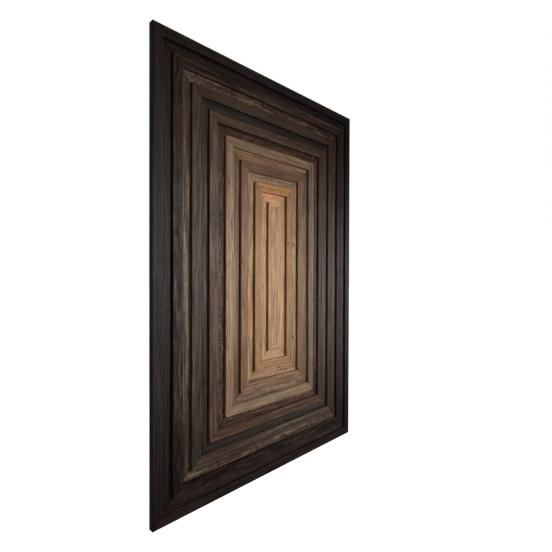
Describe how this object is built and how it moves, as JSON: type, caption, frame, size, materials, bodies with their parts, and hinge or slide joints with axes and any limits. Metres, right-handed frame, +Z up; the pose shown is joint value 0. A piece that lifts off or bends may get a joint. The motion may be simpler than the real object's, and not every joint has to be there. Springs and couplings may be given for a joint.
{
  "type": "wooden wall panel",
  "caption": "Tall rectangular oak wall panel of nested mitred frames, proud and set back by turns, shading from a near-black border to a pale centre slab.",
  "frame": {"origin": "centre of the backing board's back face, in the wall's plane", "axes": "+Z up, +Y into the wall, face towards -Y, +X to the right seen from the front"},
  "size_m": [0.8, 0.018, 1.2],
  "materials": {
    "ebonised_oak": "black-brown stained oak, satin",
    "charcoal_oak": "very dark brown stained oak, satin",
    "smoked_oak": "mid brown smoked oak with flecks, satin",
    "umber_oak": "dark brown fumed oak, satin",
    "bog_oak": "dark bluish brown oak, satin",
    "fumed_oak": "brown fumed oak, satin",
    "russet_oak": "dark reddish brown oak, satin",
    "olive_oak": "olive tan oak, satin",
    "golden_oak": "golden brown oak, satin",
    "rose_oak": "pinkish brown oak, satin",
    "grey_oak": "greyed light oak, satin",
    "honey_oak": "honey oak, satin",
    "natural_oak": "pale natural oak, satin",
    "stained_board": "black stained plywood, matt"
  },
  "bodies": {
    "root": {"backing_board": "stained_board", "frame_01_top": "ebonised_oak", "frame_01_right": "ebonised_oak", "frame_01_bottom": "ebonised_oak", "frame_01_left": "ebonised_oak", "frame_02_top": "ebonised_oak", "frame_02_right": "ebonised_oak", "frame_02_bottom": "ebonised_oak", "frame_02_left": "ebonised_oak", "frame_03_top": "charcoal_oak", "frame_03_right": "charcoal_oak", "frame_03_bottom": "charcoal_oak", "frame_03_left": "charcoal_oak", "frame_04_top": "smoked_oak", "frame_04_right": "smoked_oak", "frame_04_bottom": "smoked_oak", "frame_04_left": "smoked_oak", "frame_05_top": "umber_oak", "frame_05_right": "umber_oak", "frame_05_bottom": "umber_oak", "frame_05_left": "umber_oak", "frame_06_top": "bog_oak", "frame_06_right": "bog_oak", "frame_06_bottom": "bog_oak", "frame_06_left": "bog_oak", "frame_07_top": "fumed_oak", "frame_07_right": "fumed_oak", "frame_07_bottom": "fumed_oak", "frame_07_left": "fumed_oak", "frame_08_top": "russet_oak", "frame_08_right": "russet_oak", "frame_08_bottom": "russet_oak", "frame_08_left": "russet_oak", "frame_09_top": "olive_oak", "frame_09_right": "olive_oak", "frame_09_bottom": "olive_oak", "frame_09_left": "olive_oak", "frame_10_top": "golden_oak", "frame_10_right": "golden_oak", "frame_10_bottom": "golden_oak", "frame_10_left": "golden_oak", "frame_11_top": "rose_oak", "frame_11_right": "rose_oak", "frame_11_bottom": "rose_oak", "frame_11_left": "rose_oak", "frame_12_top": "grey_oak", "frame_12_right": "grey_oak", "frame_12_bottom": "grey_oak", "frame_12_left": "grey_oak", "frame_13_top": "honey_oak", "frame_13_right": "honey_oak", "frame_13_bottom": "honey_oak", "frame_13_left": "honey_oak", "frame_14_top": "natural_oak", "frame_14_right": "natural_oak", "frame_14_bottom": "natural_oak", "frame_14_left": "natural_oak", "narrow_frame": "natural_oak", "centre_slab": "natural_oak"}
  },
  "joints": []
}
